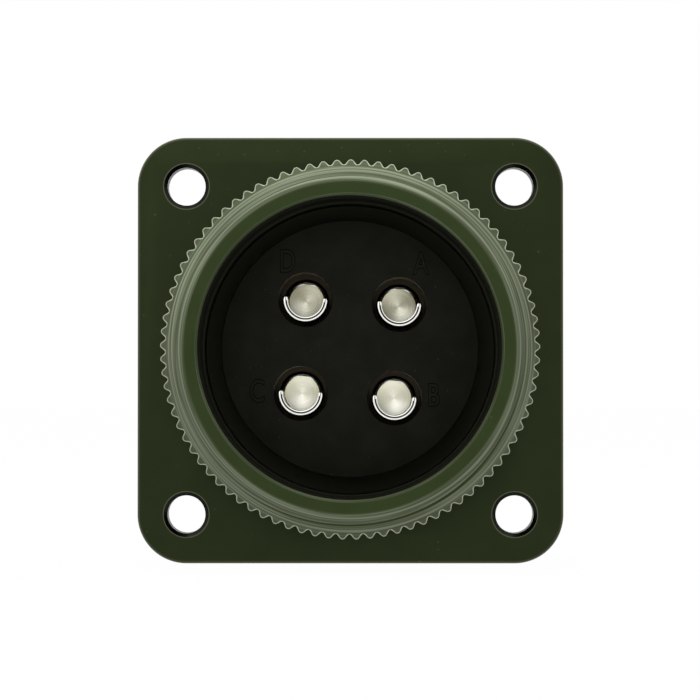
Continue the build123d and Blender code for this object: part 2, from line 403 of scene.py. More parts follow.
start_fresh()
bpy.ops.mesh.primitive_circle_add(
    vertices=KNURL_TEETH * POINTS_PER_TOOTH, radius=root_radius, fill_type="NGON"
)
bell = bpy.context.object
bell.name = "end_bell_body"
bell.location.z = collar_start - MARGIN
bell.rotation_euler.z = KNURL_TURN
settle(bell)
for phase in range(1, POINTS_PER_TOOTH):
    pick(bell, lambda vertex: vertex.index % POINTS_PER_TOOTH == phase)
    grow = (root_radius + KNURL_DEPTH * tooth_share(phase)) / root_radius
    bpy.ops.object.mode_set(mode="EDIT")
    bpy.ops.mesh.select_mode(type="VERT")
    bpy.ops.transform.resize(value=(grow, grow, 1), center_override=(0, 0, 0))
    bpy.ops.object.mode_set(mode="OBJECT")
bpy.ops.object.mode_set(mode="EDIT")
bpy.ops.mesh.select_all(action="SELECT")
bpy.ops.mesh.extrude_region_move(
    TRANSFORM_OT_translate={"value": (0, 0, collar_end - collar_start + 2 * MARGIN)}
)
bpy.ops.mesh.select_all(action="SELECT")
bpy.ops.mesh.normals_make_consistent(inside=False)
bpy.ops.object.mode_set(mode="OBJECT")
report(bell)

# %% The collar's turned form, the barrel and the bore
FRONT_BREAK = 0.35 * MM
REAR_RADIUS = 15.08 * MM
REAR_LEAD = 0.95 * MM
LIP_THICKNESS = 0.8 * MM
MOUTH_RADIUS = 12.8 * MM
MOUTH_BREAK = 0.15 * MM
BELL_SPIGOT_GAP = 0.4 * MM
THREAD_FIT = 0.05 * MM

ROOT_FACET = 0.08 * MM
root_end = KNURL_END + KNURL_DEPTH
tooth_end = root_end - KNURL_DEPTH / 2
rear_relief = REAR_RADIUS - THREAD_DEPTH
thread_start = collar_end + RELIEF_WIDTH
lip_underside = bell_end - LIP_THICKNESS
envelope = turned("collar_form", [
    (TIP_RADIUS - FRONT_BREAK, collar_start),
    (TIP_RADIUS + THREAD_FIT, collar_start + FRONT_BREAK + THREAD_FIT),
    (TIP_RADIUS + THREAD_FIT, tooth_end - THREAD_FIT / 2),
    (root_radius, root_end),
    (root_radius - ROOT_FACET, root_end + ROOT_FACET),
    (root_radius - 2.5 * ROOT_FACET, root_end + 1.5 * ROOT_FACET),
    (SHOULDER_RADIUS, collar_end),
])
join_solids(bell, envelope, "INTERSECT")
barrel = turned("rear_barrel", [
    (rear_relief, KNURL_END),
    (rear_relief, thread_start),
    (REAR_RADIUS, thread_start + THREAD_DEPTH),
    (REAR_RADIUS, bell_end - REAR_LEAD),
    (REAR_RADIUS - REAR_LEAD, bell_end),
])
join_solids(bell, barrel, "UNION")
bell_bore = turned("bell_bore", [
    (SPIGOT_RADIUS + THREAD_FIT, collar_start - MARGIN),
    (SPIGOT_RADIUS + THREAD_FIT, spigot_end + BELL_SPIGOT_GAP),
    (seat_radius, spigot_end + BELL_SPIGOT_GAP),
    (seat_radius, lip_underside),
    (MOUTH_RADIUS, lip_underside),
    (MOUTH_RADIUS, bell_end - MOUTH_BREAK),
    (MOUTH_RADIUS + MOUTH_BREAK + MARGIN, bell_end + MARGIN),
])
join_solids(bell, bell_bore)
report(bell)

# %% The cable clamp's thread
rear_tool = thread_tool("rear_tool", REAR_RADIUS, thread_start + PITCH / 4, bell_end + PITCH)
join_solids(bell, rear_tool)
smooth(bell)
lay_down(bell)
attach(bell, "root")
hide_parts("end_bell")
report(bell)

# %% [markdown]
# ## The inserts
#
# The contacts stand in two black mouldings. The rear one is a flange with a raised boss that has a well for each
# solder cup, and a thin sleeve stands on the flange and lines the bell. They are turned like the metal parts,
# although the real ones are moulded, because their form is round. The wells are cut with one turned tool, made
# anew at each of the four contact places.

# %% The contact places
CONTACT_SPACING = 8.13 * MM
INSERT_TURN = math.radians(-2.9)
CONTACT_LETTERS = ("a", "b", "c", "d")
half = CONTACT_SPACING / 2
corners = ((half, half), (half, -half), (-half, -half), (-half, half))
contact_places = [
    (x * math.cos(INSERT_TURN) - y * math.sin(INSERT_TURN),
     x * math.sin(INSERT_TURN) + y * math.cos(INSERT_TURN))
    for x, y in corners
]
print("contacts at", [(round(x / MM, 2), round(y / MM, 2)) for x, y in contact_places])

# %% The rear insert
BOSS_RADIUS = 11.15 * MM
BOSS_BREAK = 0.12 * MM
WELL_RADIUS = 2.37 * MM
WELL_BREAK = 0.03 * MM
WELL_FLOOR = 3.0 * MM
CUP_RADIUS = 1.87 * MM
CONTACT_FIT = 0.1 * MM
SHOULDER_RADIUS_CONTACT = 2.3 * MM
SHOULDER_REAR_DEPTH = 1.0 * MM
shoulder_rear = joint_height + SHOULDER_REAR_DEPTH

rear_insert = turned("rear_insert_body", [
    (rear_radius, joint_height),
    (rear_radius, moat_floor),
    (BOSS_RADIUS, moat_floor),
    (BOSS_RADIUS, boss_height),
])
soften(rear_insert, BOSS_BREAK, segments=3)
for x, y in contact_places:
    well = turned("well", [
        (SHOULDER_RADIUS_CONTACT + CONTACT_FIT, joint_height - MARGIN),
        (SHOULDER_RADIUS_CONTACT + CONTACT_FIT, shoulder_rear),
        (CUP_RADIUS + CONTACT_FIT, shoulder_rear),
        (CUP_RADIUS + CONTACT_FIT, WELL_FLOOR),
        (WELL_RADIUS, WELL_FLOOR),
        (WELL_RADIUS, boss_height - WELL_BREAK),
        (WELL_RADIUS + WELL_BREAK + MARGIN, boss_height + MARGIN),
    ])
    well.location = (x, y, 0)
    settle(well)
    join_solids(rear_insert, well)
smooth(rear_insert)
lay_down(rear_insert)
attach(rear_insert, "root")
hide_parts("rear_insert")
report(rear_insert)

# %% The liner sleeve
SLEEVE_INNER = 12.68 * MM
SLEEVE_BREAK = 0.1 * MM
sleeve = turned("liner_sleeve_body", [
    (sleeve_radius, moat_floor),
    (sleeve_radius, sleeve_end),
    (SLEEVE_INNER, sleeve_end),
    (SLEEVE_INNER, moat_floor),
], tube=True)
soften(sleeve, SLEEVE_BREAK, segments=2)
smooth(sleeve)
lay_down(sleeve)
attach(sleeve, "root")
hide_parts("liner_sleeve")
report(sleeve)

# %% [markdown]
# Each well has its letter beside it, moulded with the boss. The letters are narrow, and all that shows of them is
# a darker line round each stroke, where the moulding's edge falls into shadow. So they are made twice from one
# text: a broad low copy in a near black that is painted shadow, and a thinner one that stands on it in the
# boss's own black. A text takes its stroke width from its offset. It is extruded, made a mesh and only then put
# in its place.


# %% The contact letters
LETTER_SIZE = 2.75 * MM
LETTER_SQUEEZE = 0.70
LINE_OFFSET, LINE_RELIEF = 0.08 * MM, 0.015 * MM
STROKE_OFFSET, STROKE_RELIEF = 0.01 * MM, 0.04 * MM
LETTER_PLACES = {"A": (6.13, 7.30), "B": (7.22, -4.09), "C": (-8.04, -3.74), "D": (-5.42, 7.50)}


def letter_set(name, offset, relief):
    """The four letters as one piece, with their strokes thickened by an offset and raised by a relief."""
    marks = []
    for letter, (x, y) in LETTER_PLACES.items():
        start_fresh()
        bpy.ops.object.text_add(location=(0, 0, 0))
        mark = bpy.context.object
        mark.data.body = letter
        mark.data.size = LETTER_SIZE
        mark.data.offset = offset
        mark.data.extrude = relief
        mark.data.align_x = "CENTER"
        mark.data.align_y = "CENTER"
        bpy.ops.object.convert(target="MESH")
        mark = bpy.context.object
        mark.scale.x = LETTER_SQUEEZE
        mark.location = (x * MM, y * MM, boss_height)
        settle(mark)
        marks.append(mark)
    start_fresh()
    for mark in marks:
        mark.select_set(True)
    bpy.context.view_layer.objects.active = marks[0]
    bpy.ops.object.join()
    piece = bpy.context.object
    piece.name = name
    lay_down(piece)
    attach(piece, "root")
    return piece


letter_shadow_lines = letter_set("letter_shadow_lines", LINE_OFFSET, LINE_RELIEF)
letter_marks = letter_set("contact_letters", STROKE_OFFSET, STROKE_RELIEF)
report(letter_shadow_lines)
report(letter_marks)

# %% The front insert
FACE_ROUND = 0.3 * MM
ENTRY_SINK = 0.2 * MM
BODY_RADIUS = 1.85 * MM
SHOULDER_FRONT_DEPTH = 0.8 * MM
shoulder_front = joint_height - SHOULDER_FRONT_DEPTH
front_insert = turned("front_insert_body", [
    (NOSE_RADIUS, face_height),
    (NOSE_RADIUS, seat_height),
    (front_radius, seat_height),
    (front_radius, joint_height),
])
soften(front_insert, FACE_ROUND, segments=4)
for x, y in contact_places:
    cavity = turned("cavity", [
        (BODY_RADIUS + CONTACT_FIT + ENTRY_SINK + MARGIN, face_height - MARGIN),
        (BODY_RADIUS + CONTACT_FIT, face_height + ENTRY_SINK),
        (BODY_RADIUS + CONTACT_FIT, shoulder_front),
        (SHOULDER_RADIUS_CONTACT + CONTACT_FIT, shoulder_front),
        (SHOULDER_RADIUS_CONTACT + CONTACT_FIT, joint_height + MARGIN),
    ])
    cavity.location = (x, y, 0)
    settle(cavity)
    join_solids(front_insert, cavity)
smooth(front_insert)
lay_down(front_insert)
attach(front_insert, "root")
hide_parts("front_insert")
report(front_insert)

# %% [markdown]
# ## The contacts
#
# Each contact is one turned bar: a split socket in front, a shoulder that the two inserts trap, and a solder cup
# behind. The cup is bored almost flat, and its upper half is milled away by a round cutter to let the wire be
# laid in. A narrow relief behind the cut leaves the floor standing as a bright disc. The cut walls end in a round
# bead, which is a thin rod joined to each, and a last bevel breaks every edge, as tumbling and plating do. Weighted
# normals then let the narrow rims between two bevels still shine as flat faces.

# %% One contact's bar and bores
CUP_BORE = 1.53 * MM
CUP_DEPTH = 7.0 * MM
DRILL_HALF_ANGLE = math.radians(85)
RIM_STEP = 0.1 * MM
RIM_GROOVE = 0.08 * MM
BARREL_RADIUS = 1.55 * MM
BARREL_LENGTH = 9.7 * MM
SOCKET_BORE = 1.21 * MM
SOCKET_DEPTH = 10.4 * MM
TIP = 0.01 * MM
cup_floor = cup_end - CUP_DEPTH
barrel_step = socket_front + BARREL_LENGTH

contact = turned("contact", [
    (BARREL_RADIUS, socket_front),
    (BARREL_RADIUS, barrel_step),
    (BODY_RADIUS, barrel_step),
    (BODY_RADIUS, shoulder_front),
    (SHOULDER_RADIUS_CONTACT, shoulder_front),
    (SHOULDER_RADIUS_CONTACT, shoulder_rear),
    (CUP_RADIUS, shoulder_rear),
    (CUP_RADIUS, cup_end),
])
cup_drill = turned("cup_drill", [
    (TIP, cup_floor - CUP_BORE / math.tan(DRILL_HALF_ANGLE)),
    (CUP_BORE, cup_floor),
    (CUP_BORE, cup_end - RIM_GROOVE),
    (CUP_BORE + RIM_STEP, cup_end - RIM_GROOVE),
    (CUP_BORE + RIM_STEP + RIM_GROOVE + MARGIN, cup_end + MARGIN),
])
join_solids(contact, cup_drill)
socket_drill = turned("socket_drill", [
    (SOCKET_BORE, socket_front - MARGIN),
    (SOCKET_BORE, socket_front + SOCKET_DEPTH),
])
join_solids(contact, socket_drill)
report(contact)

# %% The cup's cut, and the relief behind its floor
CUP_CUT_HEIGHT = 0.3 * MM
CUTTER_RADIUS = 1.61 * MM
RELIEF_INNER = 1.71 * MM
RELIEF_DROP = 0.9 * MM
RELIEF_FROM = 0.3 * MM
start_fresh()
cutter_height = cup_floor + CUP_CUT_HEIGHT + CUTTER_RADIUS
bpy.ops.mesh.primitive_cylinder_add(
    vertices=SIDES, radius=CUTTER_RADIUS, depth=4 * CUP_RADIUS,
    location=(0, CUTTER_RADIUS, cutter_height), rotation=(0, math.pi / 2, 0),
)
cutter = bpy.context.object
settle(cutter)
join_solids(contact, cutter)
run_out_size = (4 * CUP_RADIUS, 2 * CUTTER_RADIUS, cup_end - cutter_height + MARGIN)
run_out = block("run_out", run_out_size, (0, CUTTER_RADIUS, (cup_end + cutter_height + MARGIN) / 2))
join_solids(contact, run_out)
relief = turned("relief", [
    (RELIEF_INNER, cup_floor - RELIEF_DROP),
    (RELIEF_INNER, cup_floor + MARGIN),
    (CUP_RADIUS + MARGIN, cup_floor + MARGIN),
    (CUP_RADIUS + MARGIN, cup_floor - RELIEF_DROP),
], tube=True)
upper_half_size = (4 * CUP_RADIUS, 2 * CUP_RADIUS, 4 * MARGIN)
upper_half = block("upper_half", upper_half_size, (0, RELIEF_FROM + CUP_RADIUS, cup_floor))
join_solids(relief, upper_half, "INTERSECT")
join_solids(contact, relief)
report(contact)

# %% The socket's slot, the walls' beads and the broken edges
SLOT_WIDTH = 0.4 * MM
SLOT_LENGTH = 6.7 * MM
PLATED_BREAK = 0.04 * MM
saw_size = (4 * BODY_RADIUS, SLOT_WIDTH, SLOT_LENGTH + MARGIN)
saw = block("saw", saw_size, (0, 0, socket_front + (SLOT_LENGTH - MARGIN) / 2))
join_solids(contact, saw)
wall_middle = (CUP_RADIUS + CUP_BORE) / 2
for side in (-1, 1):
    bead = turned("bead", [
        (CUP_RADIUS - wall_middle - TIP, cutter_height - CUTTER_RADIUS / 2),
        (CUP_RADIUS - wall_middle - TIP, cup_end),
    ])
    bead.location.x = side * wall_middle
    settle(bead)
    join_solids(contact, bead, "UNION")
soften(contact, PLATED_BREAK, angle=40, segments=2)
smooth(contact, angle=45)
finish_modifier(contact, "WEIGHTED_NORMAL", keep_sharp=True)
report(contact)

# %% The four contacts in their places
contacts = {}
for letter, (x, y) in zip(CONTACT_LETTERS, contact_places):
    start_fresh()
    copy = contact.copy()
    copy.data = contact.data.copy()
    copy.name = f"contact_{letter}_body"
    bpy.context.collection.objects.link(copy)
    copy.rotation_euler.z = INSERT_TURN
    copy.location = (x, y, 0)
    settle(copy)
    lay_down(copy)
    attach(copy, "root")
    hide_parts(f"contact_{letter}")
    contacts[letter] = copy
bpy.data.objects.remove(contact)
print("contacts:", sorted(contacts))

# %% [markdown]
# ## Finishes
#
# Shader maths is easier to read as Python than as a chain of nodes. Signal wraps one socket, and its operators
# add the Math node that does the sum. Finish makes a material, and its one method, node, adds any other node.


# %% Signals and finishes
class Signal:
    """One socket of a material, with Python's operators standing for Math nodes."""

    def __init__(self, finish, socket):
        self.finish = finish
        self.socket = socket

    def maths(self, operation, *others):
        """Add a Math node that works on this signal, and on others if its operation takes them."""
        return self.finish.node("ShaderNodeMath", {"operation": operation}, dict(enumerate((self, *others))))

    def __add__(self, other):
        return self.maths("ADD", other)

    def __mul__(self, other):
        return self.maths("MULTIPLY", other)

    def __sub__(self, other):
        return self.maths("SUBTRACT", other)

    def __rsub__(self, other):
        return self.finish.node("ShaderNodeMath", {"operation": "SUBTRACT"}, {0: other, 1: self})

    __radd__ = __add__
    __rmul__ = __mul__


class Finish:
    """A procedural material. Sockets that stay the same all over are set on the shader itself."""

    def __init__(self, name, **constants):
        self.material = bpy.data.materials.new(name)
        self.material.use_nodes = True
        self.tree = self.material.node_tree
        self.shader = self.tree.nodes["Principled BSDF"]
        for key, value in constants.items():
            self.shader.inputs[key.replace("_", " ")].default_value = value

    def node(self, kind, settings=None, values=None, output=0):
        """Add a node: its settings are set first, then the values or links of its sockets."""
        made = self.tree.nodes.new(kind)
        for key, value in (settings or {}).items():
            setattr(made, key, value)
        for key, value in (values or {}).items():
            if isinstance(value, Signal):
                self.tree.links.new(value.socket, made.inputs[key])
            else:
                made.inputs[key].default_value = value
        return Signal(self, made.outputs[output])

    def feed(self, socket, signal):
        """Link a signal to one of the shader's sockets."""
        self.tree.links.new(signal.socket, self.shader.inputs[socket])

    def place(self, centre=(0, 0, 0)):
        """The Object coordinates in millimetres from a centre, turned so that z runs along the connector."""
        coordinates = self.node("ShaderNodeTexCoord", output="Object")
        scale = 1 / MM
        shift = tuple(-c * scale for c in centre)
        moved = self.node("ShaderNodeMapping", {}, {
            "Vector": coordinates, "Location": shift, "Rotation": (-math.pi / 2, 0, 0),
            "Scale": (scale, scale, scale),
        })
        split = self.node("ShaderNodeSeparateXYZ", {}, {0: moved}).socket.node
        return moved, *(Signal(self, split.outputs[i]) for i in range(3))

    def noise(self, vector, scale, detail, roughness=0.5):
        """Cloudy noise from 0 to 1. Its scale is in waves for each unit of the vector."""
        return self.node("ShaderNodeTexNoise", {}, {
            "Vector": vector, "Scale": scale, "Detail": detail, "Roughness": roughness
        })

    def blend(self, mask, first, second):
        """Mix two colours by a mask."""
        return self.node("ShaderNodeMix", {"data_type": "RGBA"}, {0: mask, 6: first, 7: second}, output=2)

    def band(self, value, low, high):
        """0 below low, 1 above high, and a smooth step between."""
        return self.node("ShaderNodeMapRange", {"interpolation_type": "SMOOTHSTEP"}, {
            "Value": value, "From Min": low, "From Max": high
        })

    def bump(self, height, distance, strength):
        """Turn a height in millimetres into a Normal."""
        bumped = self.node("ShaderNodeBump", {}, {
            "Height": height, "Distance": distance * MM, "Strength": strength
        })
        self.feed("Normal", bumped)


def dress(piece, finish):
    """Give a piece one finish and nothing else."""
    piece.data.materials.clear()
    piece.data.materials.append(finish.material)


print("finishes are ready to be mixed")

# %% [markdown]
# ## Olive drab plating
#
# The shells are aluminium with an olive drab conversion coat: a dark green-brown skin, thin enough to keep the
# metal's soft gloss. It is a little uneven, and the bell is plated a shade lighter than the flange. The chamfers
# are painted paler, with fine rings, as a painted sheen for the light they catch. A 45 degree chamfer is a cone,
# and on a cone the radius and the height have a fixed sum, so one sum finds each chamfer. Rings that aren't all
# alike come from a noise that is fed with the radius, stretched far more than the other two directions, and a few
# rings at set radii are painted highlights. The teeth's ends get a painted highlight along their outline, which
# the smooth step of the knurl gives again. The flange is paler along its rim and round its holes, whose
# countersinks are greyer.
#
# The numbers below are millimetres or shares. Each noise has a scale, in waves for each millimetre, and a detail.

# %% The olive finish
FLANGE_OLIVE = (0.0180, 0.0255, 0.0088, 1.0)
BELL_OLIVE = (0.0265, 0.0400, 0.0125, 1.0)
# The next two colours are a painted sheen for the chamfers; the darker one also colours the pale specks.
CHAMFER_SHEEN = (0.180, 0.210, 0.145, 1.0)
SPECK_AND_SHEEN_DARK = (0.066, 0.076, 0.042, 1.0)
# The next colour is a painted highlight along the teeth's ends.
EDGE = (0.34, 0.37, 0.28, 1.0)
SINK_DARK = (0.0235, 0.0275, 0.0190, 1.0)
SINK_LINE = (0.085, 0.090, 0.055, 1.0)
OLIVE_CLOUD = (0.35, 4.0)
OLIVE_GRAIN = (9.0, 2.0)
OLIVE_SPECKS = (3.0, 0.0)
GRAIN_BUMP = 0.004
TOOTH_LINE = (0.05, 0.11)
RING_STRETCH = 5.0
RING_DRIFT = 0.07
RING_SHARE = 0.7
# Rings at these radii are painted highlights.
PAINTED_LIGHT_RINGS = (14.36, 14.98, 15.26, 15.84)
PAINTED_LIGHT_RING_SHARE = 0.9
TOOTH_RING_LOSS = 0.7
PALER = 1.12


def near(finish, signal, target, sharp, soft):
    """1 where a signal is within the sharp distance of its target, and 0 beyond the soft one."""
    return 1 - finish.band((signal - target).maths("ABSOLUTE"), sharp, soft)


def tooth_outline_highlight(finish, x, y, z, radius):
    """1 along the outline of each tooth's end, where the collar's chamfer meets the knurl: a painted highlight."""
    tip_turn = math.pi / 2 + KNURL_TURN - math.pi / KNURL_TEETH
    turns = (y.maths("ARCTAN2", x) - tip_turn) * (KNURL_TEETH / (2 * math.pi))
    from_tip = ((turns + 0.5).maths("FRACT") - 0.5).maths("ABSOLUTE") * 2.0
    share = finish.band(from_tip, 1.0, TIP_SPREAD)
    inside = share * (KNURL_DEPTH / MM) + (root_radius / MM) - radius
    steepness = share * (1 - share)
    line = 1 - finish.band(inside * (1 - 1.8 * steepness), *TOOTH_LINE)
    end = finish.band(z, KNURL_END / MM + 0.08, KNURL_END / MM + 0.16)
    past = finish.band(radius, root_radius / MM - 0.06, root_radius / MM - 0.02)
    return line * end * past


def flange_edges(finish, x, y, z, skin):
    """Make the flange's rim and the holes' edges paler. Each round corner is centred on its hole."""
    across = x.maths("ABSOLUTE") - HOLE_SPACING / 2 / MM
    up = y.maths("ABSOLUTE") - HOLE_SPACING / 2 / MM
    radius = (across * across + up * up).maths("SQRT")
    past_x, past_y = across.maths("MAXIMUM", 0.0), up.maths("MAXIMUM", 0.0)
    outwards = (past_x * past_x + past_y * past_y).maths("SQRT")
    rim = finish.band(outwards, CORNER_RADIUS / MM - 0.30, CORNER_RADIUS / MM + 0.02)
    half = -flange_front / 2 / MM
    rim *= finish.band((z + half).maths("ABSOLUTE"), half - 0.35, half - 0.1)
    skin = finish.blend(rim, skin, SINK_LINE)
    sink = near(finish, radius, (HOLE_RADIUS + SINK_RADIUS) / 2 / MM, 0.13, 0.18)
    line = near(finish, radius, SINK_RADIUS / MM + 0.03, 0.02, 0.07) * finish.band(z, -0.1, -0.05)
    return finish.blend(line, finish.blend(sink, skin, SINK_DARK), SINK_LINE)


def olive(name, colour, cones, knurled=False, flanged=False):
    """Olive plating with a painted sheen on its cones. A cone has a slope, a sum, a reach, a start and a share."""
    finish = Finish(name, Metallic=1.0, IOR=1.5, Coat_Weight=0.08, Coat_Roughness=0.25)
    place, x, y, z = finish.place()
    cloud = finish.noise(place, *OLIVE_CLOUD)
    grain = finish.noise(place, *OLIVE_GRAIN)
    radius = (x * x + y * y).maths("SQRT")
    stretched = {0: radius * RING_STRETCH, 1: x * RING_DRIFT, 2: y * RING_DRIFT}
    rings = finish.noise(finish.node("ShaderNodeCombineXYZ", {}, stretched), 1.0, 3.0, 0.6)
    streak = finish.band(rings, 0.40, 0.66) * RING_SHARE
    # The rings at set radii add a painted highlight.
    for ring in PAINTED_LIGHT_RINGS:
        streak = streak.maths("MAXIMUM", PAINTED_LIGHT_RING_SHARE * near(finish, radius, ring, 0.02, 0.11))
    streak *= 1 - TOOTH_RING_LOSS * finish.band(radius, root_radius / MM, root_radius / MM + 0.1)
    sheen = finish.blend(streak, SPECK_AND_SHEEN_DARK, CHAMFER_SHEEN)
    paler = tuple(PALER * part for part in colour[:3]) + (1.0,)
    skin = finish.blend(finish.band(cloud, 0.3, 0.7), colour, paler)
    speck = finish.band(finish.noise(place, *OLIVE_SPECKS), 0.82, 0.85)
    skin = finish.blend(speck * 0.5, skin, SPECK_AND_SHEEN_DARK)
    # Each cone gets the painted sheen, with its rings.
    for slope, total, reach, (start, full), share in cones:
        cone_sheen = near(finish, radius + z * slope, total, 0.7 * reach, reach)
        skin = finish.blend(cone_sheen * finish.band(radius, start, full) * share, skin, sheen)
    if flanged:
        skin = flange_edges(finish, x, y, z, skin)
    if knurled:
        # Painted highlight along each tooth's outline.
        skin = finish.blend(tooth_outline_highlight(finish, x, y, z, radius), skin, EDGE)
    finish.feed("Base Color", skin)
    finish.feed("Roughness", 0.32 + 0.08 * cloud + 0.06 * grain)
    finish.bump(rings * 0.6 + grain, GRAIN_BUMP, 0.35)
    return finish


coupling_start = (COUPLING_RADIUS - COUPLING_LEAD) / MM
rear_start = (REAR_RADIUS - REAR_LEAD) / MM
step_start, shoulder_start = REAR_RADIUS / MM, SHOULDER_RADIUS / MM
mouth_edge = (MOUTH_RADIUS + MOUTH_BREAK) / MM
coupling_cone = (-1, coupling_start - front_rim / MM, 0.12, (coupling_start, coupling_start + 0.05), 1.0)
rear_cone = (1, rear_start + bell_end / MM - 0.2, 0.6, (rear_start - 0.3, rear_start + 0.05), 1.0)
collar_cone = (1, shoulder_start + collar_end / MM, 0.32, (shoulder_start - 0.1, shoulder_start), 1.0)
collar_step = (0, (step_start + shoulder_start) / 2, 0.3, (step_start, step_start + 0.05), 1.0)
mouth_cone = (-1, mouth_edge - bell_end / MM, 0.09, (mouth_edge - 0.2, mouth_edge - 0.1), 0.5)
bell_cones = [rear_cone, collar_step, collar_cone, mouth_cone]
dress(shell, olive("flange_plating", FLANGE_OLIVE, [coupling_cone], flanged=True))
dress(bell, olive("bell_plating", BELL_OLIVE, bell_cones, knurled=True))
print("olive finishes on", shell.name, "and", bell.name)

# %% [markdown]
# ## Black mouldings, silvered contacts and steel
#
# The inserts are a filled black plastic with a dull sheen and a few pale specks. Down in the wells and in the space
# round the boss the plastic is written paler and warmer, as painted light for the light that falls short so deep.
# The contacts are turned brass with a bright silver plate. Their turning rings are centred on each contact, and so
# is a bow-tie highlight painted on each cup's floor, so each contact has its own copy of the finish, with its own
# tarnish. The cut rims and an arc atop each floor are painted highlights, the chamfer under each rim has a painted
# dark line, and the barrel behind the cut is painted shadow.


# %% The black finish
# The next two colours are painted light for the wells and for the moat round the boss.
WELL_PAINTED_LIGHT = (0.115, 0.098, 0.068, 1.0)
MOAT_PAINTED_LIGHT = (0.068, 0.070, 0.048, 1.0)
BLACK_SPECK = (0.04, 0.042, 0.036, 1.0)
BLACK_FLOW = (0.5, 3.0)
BLACK_GRAIN = (22.0, 3.0)
BLACK_SPECKS = (4.0, 0.0)


def moulded_black(name, dark, pale, gloss, shade):
    """Black plastic with flow marks, grain and specks, and painted light inside up to the shade's heights."""
    finish = Finish(name, IOR=1.5, Specular_IOR_Level=gloss)
    place, x, y, z = finish.place()
    flow = finish.noise(place, *BLACK_FLOW)
    grain = finish.noise(place, *BLACK_GRAIN)
    speck = finish.band(finish.noise(place, *BLACK_SPECKS), 0.83, 0.86)
    body = finish.blend(finish.band(flow, 0.3, 0.7), dark, pale)
    radius = (x * x + y * y).maths("SQRT")
    # Painted light deep inside, which fades out between the shade's heights.
    painted_light = finish.band(z, joint_height / MM, joint_height / MM + 0.1)
    painted_light *= 1 - finish.band(z, *shade)
    round_boss = finish.band(radius, BOSS_RADIUS / MM - 0.25, BOSS_RADIUS / MM - 0.05)
    body = finish.blend(painted_light, body, finish.blend(round_boss, WELL_PAINTED_LIGHT, MOAT_PAINTED_LIGHT))
    finish.feed("Base Color", finish.blend(speck, body, BLACK_SPECK))
    finish.feed("Roughness", 0.5 + 0.12 * grain)
    finish.bump(grain, GRAIN_BUMP, 0.3)
    return finish


BLACK = (0.0118, 0.0120, 0.0088, 1.0)
BLACK_PALE = (0.0155, 0.0155, 0.0120, 1.0)
# The next colour is painted shadow for the letters' broad copy.
PAINTED_SHADOW_BLACK = (0.0014, 0.0014, 0.0012, 1.0)
SLEEVE_BLACK = (0.0125, 0.0128, 0.0092, 1.0)
boss_shade = (boss_height / MM - 0.9, boss_height / MM - 0.3)
sleeve_shade = (boss_height / MM - 2.0, (boss_height + sleeve_end) / 2 / MM)
black = moulded_black("moulded_black", BLACK, BLACK_PALE, 0.035, boss_shade)
for piece in (rear_insert, front_insert, letter_marks):
    dress(piece, black)
dress(sleeve, moulded_black("sleeve_black", SLEEVE_BLACK, SLEEVE_BLACK, 0.02, sleeve_shade))
# The letters' broad copy is painted shadow round each stroke.
dress(letter_shadow_lines, moulded_black("letter_painted_shadow", PAINTED_SHADOW_BLACK, PAINTED_SHADOW_BLACK, 0.02, boss_shade))
print("black finishes on the inserts, the sleeve and the letters")

# %% The silver and steel finishes
# The next colour is a painted highlight for the cut rims.
PAINTED_RIM_HIGHLIGHT = (0.95, 0.95, 0.91, 1.0)
# The next colour is a painted dark line, the black insert's reflection.
GROOVE_PAINTED_DARK = (0.12, 0.12, 0.10, 1.0)
# The next colour is painted shadow for the barrel behind the cut.
BARREL_SHADE = (0.016, 0.014, 0.010, 1.0)
TARNISH = (0.9, 3.0)
TURNING_STRETCH = 7.0
TURNING_DRIFT = 0.2
BOW_TIE_PAINT_SHARE = 0.28
cut_height = (cup_floor + CUP_CUT_HEIGHT) / MM
cup_rim = cup_end / MM
cup_bore = CUP_BORE / MM


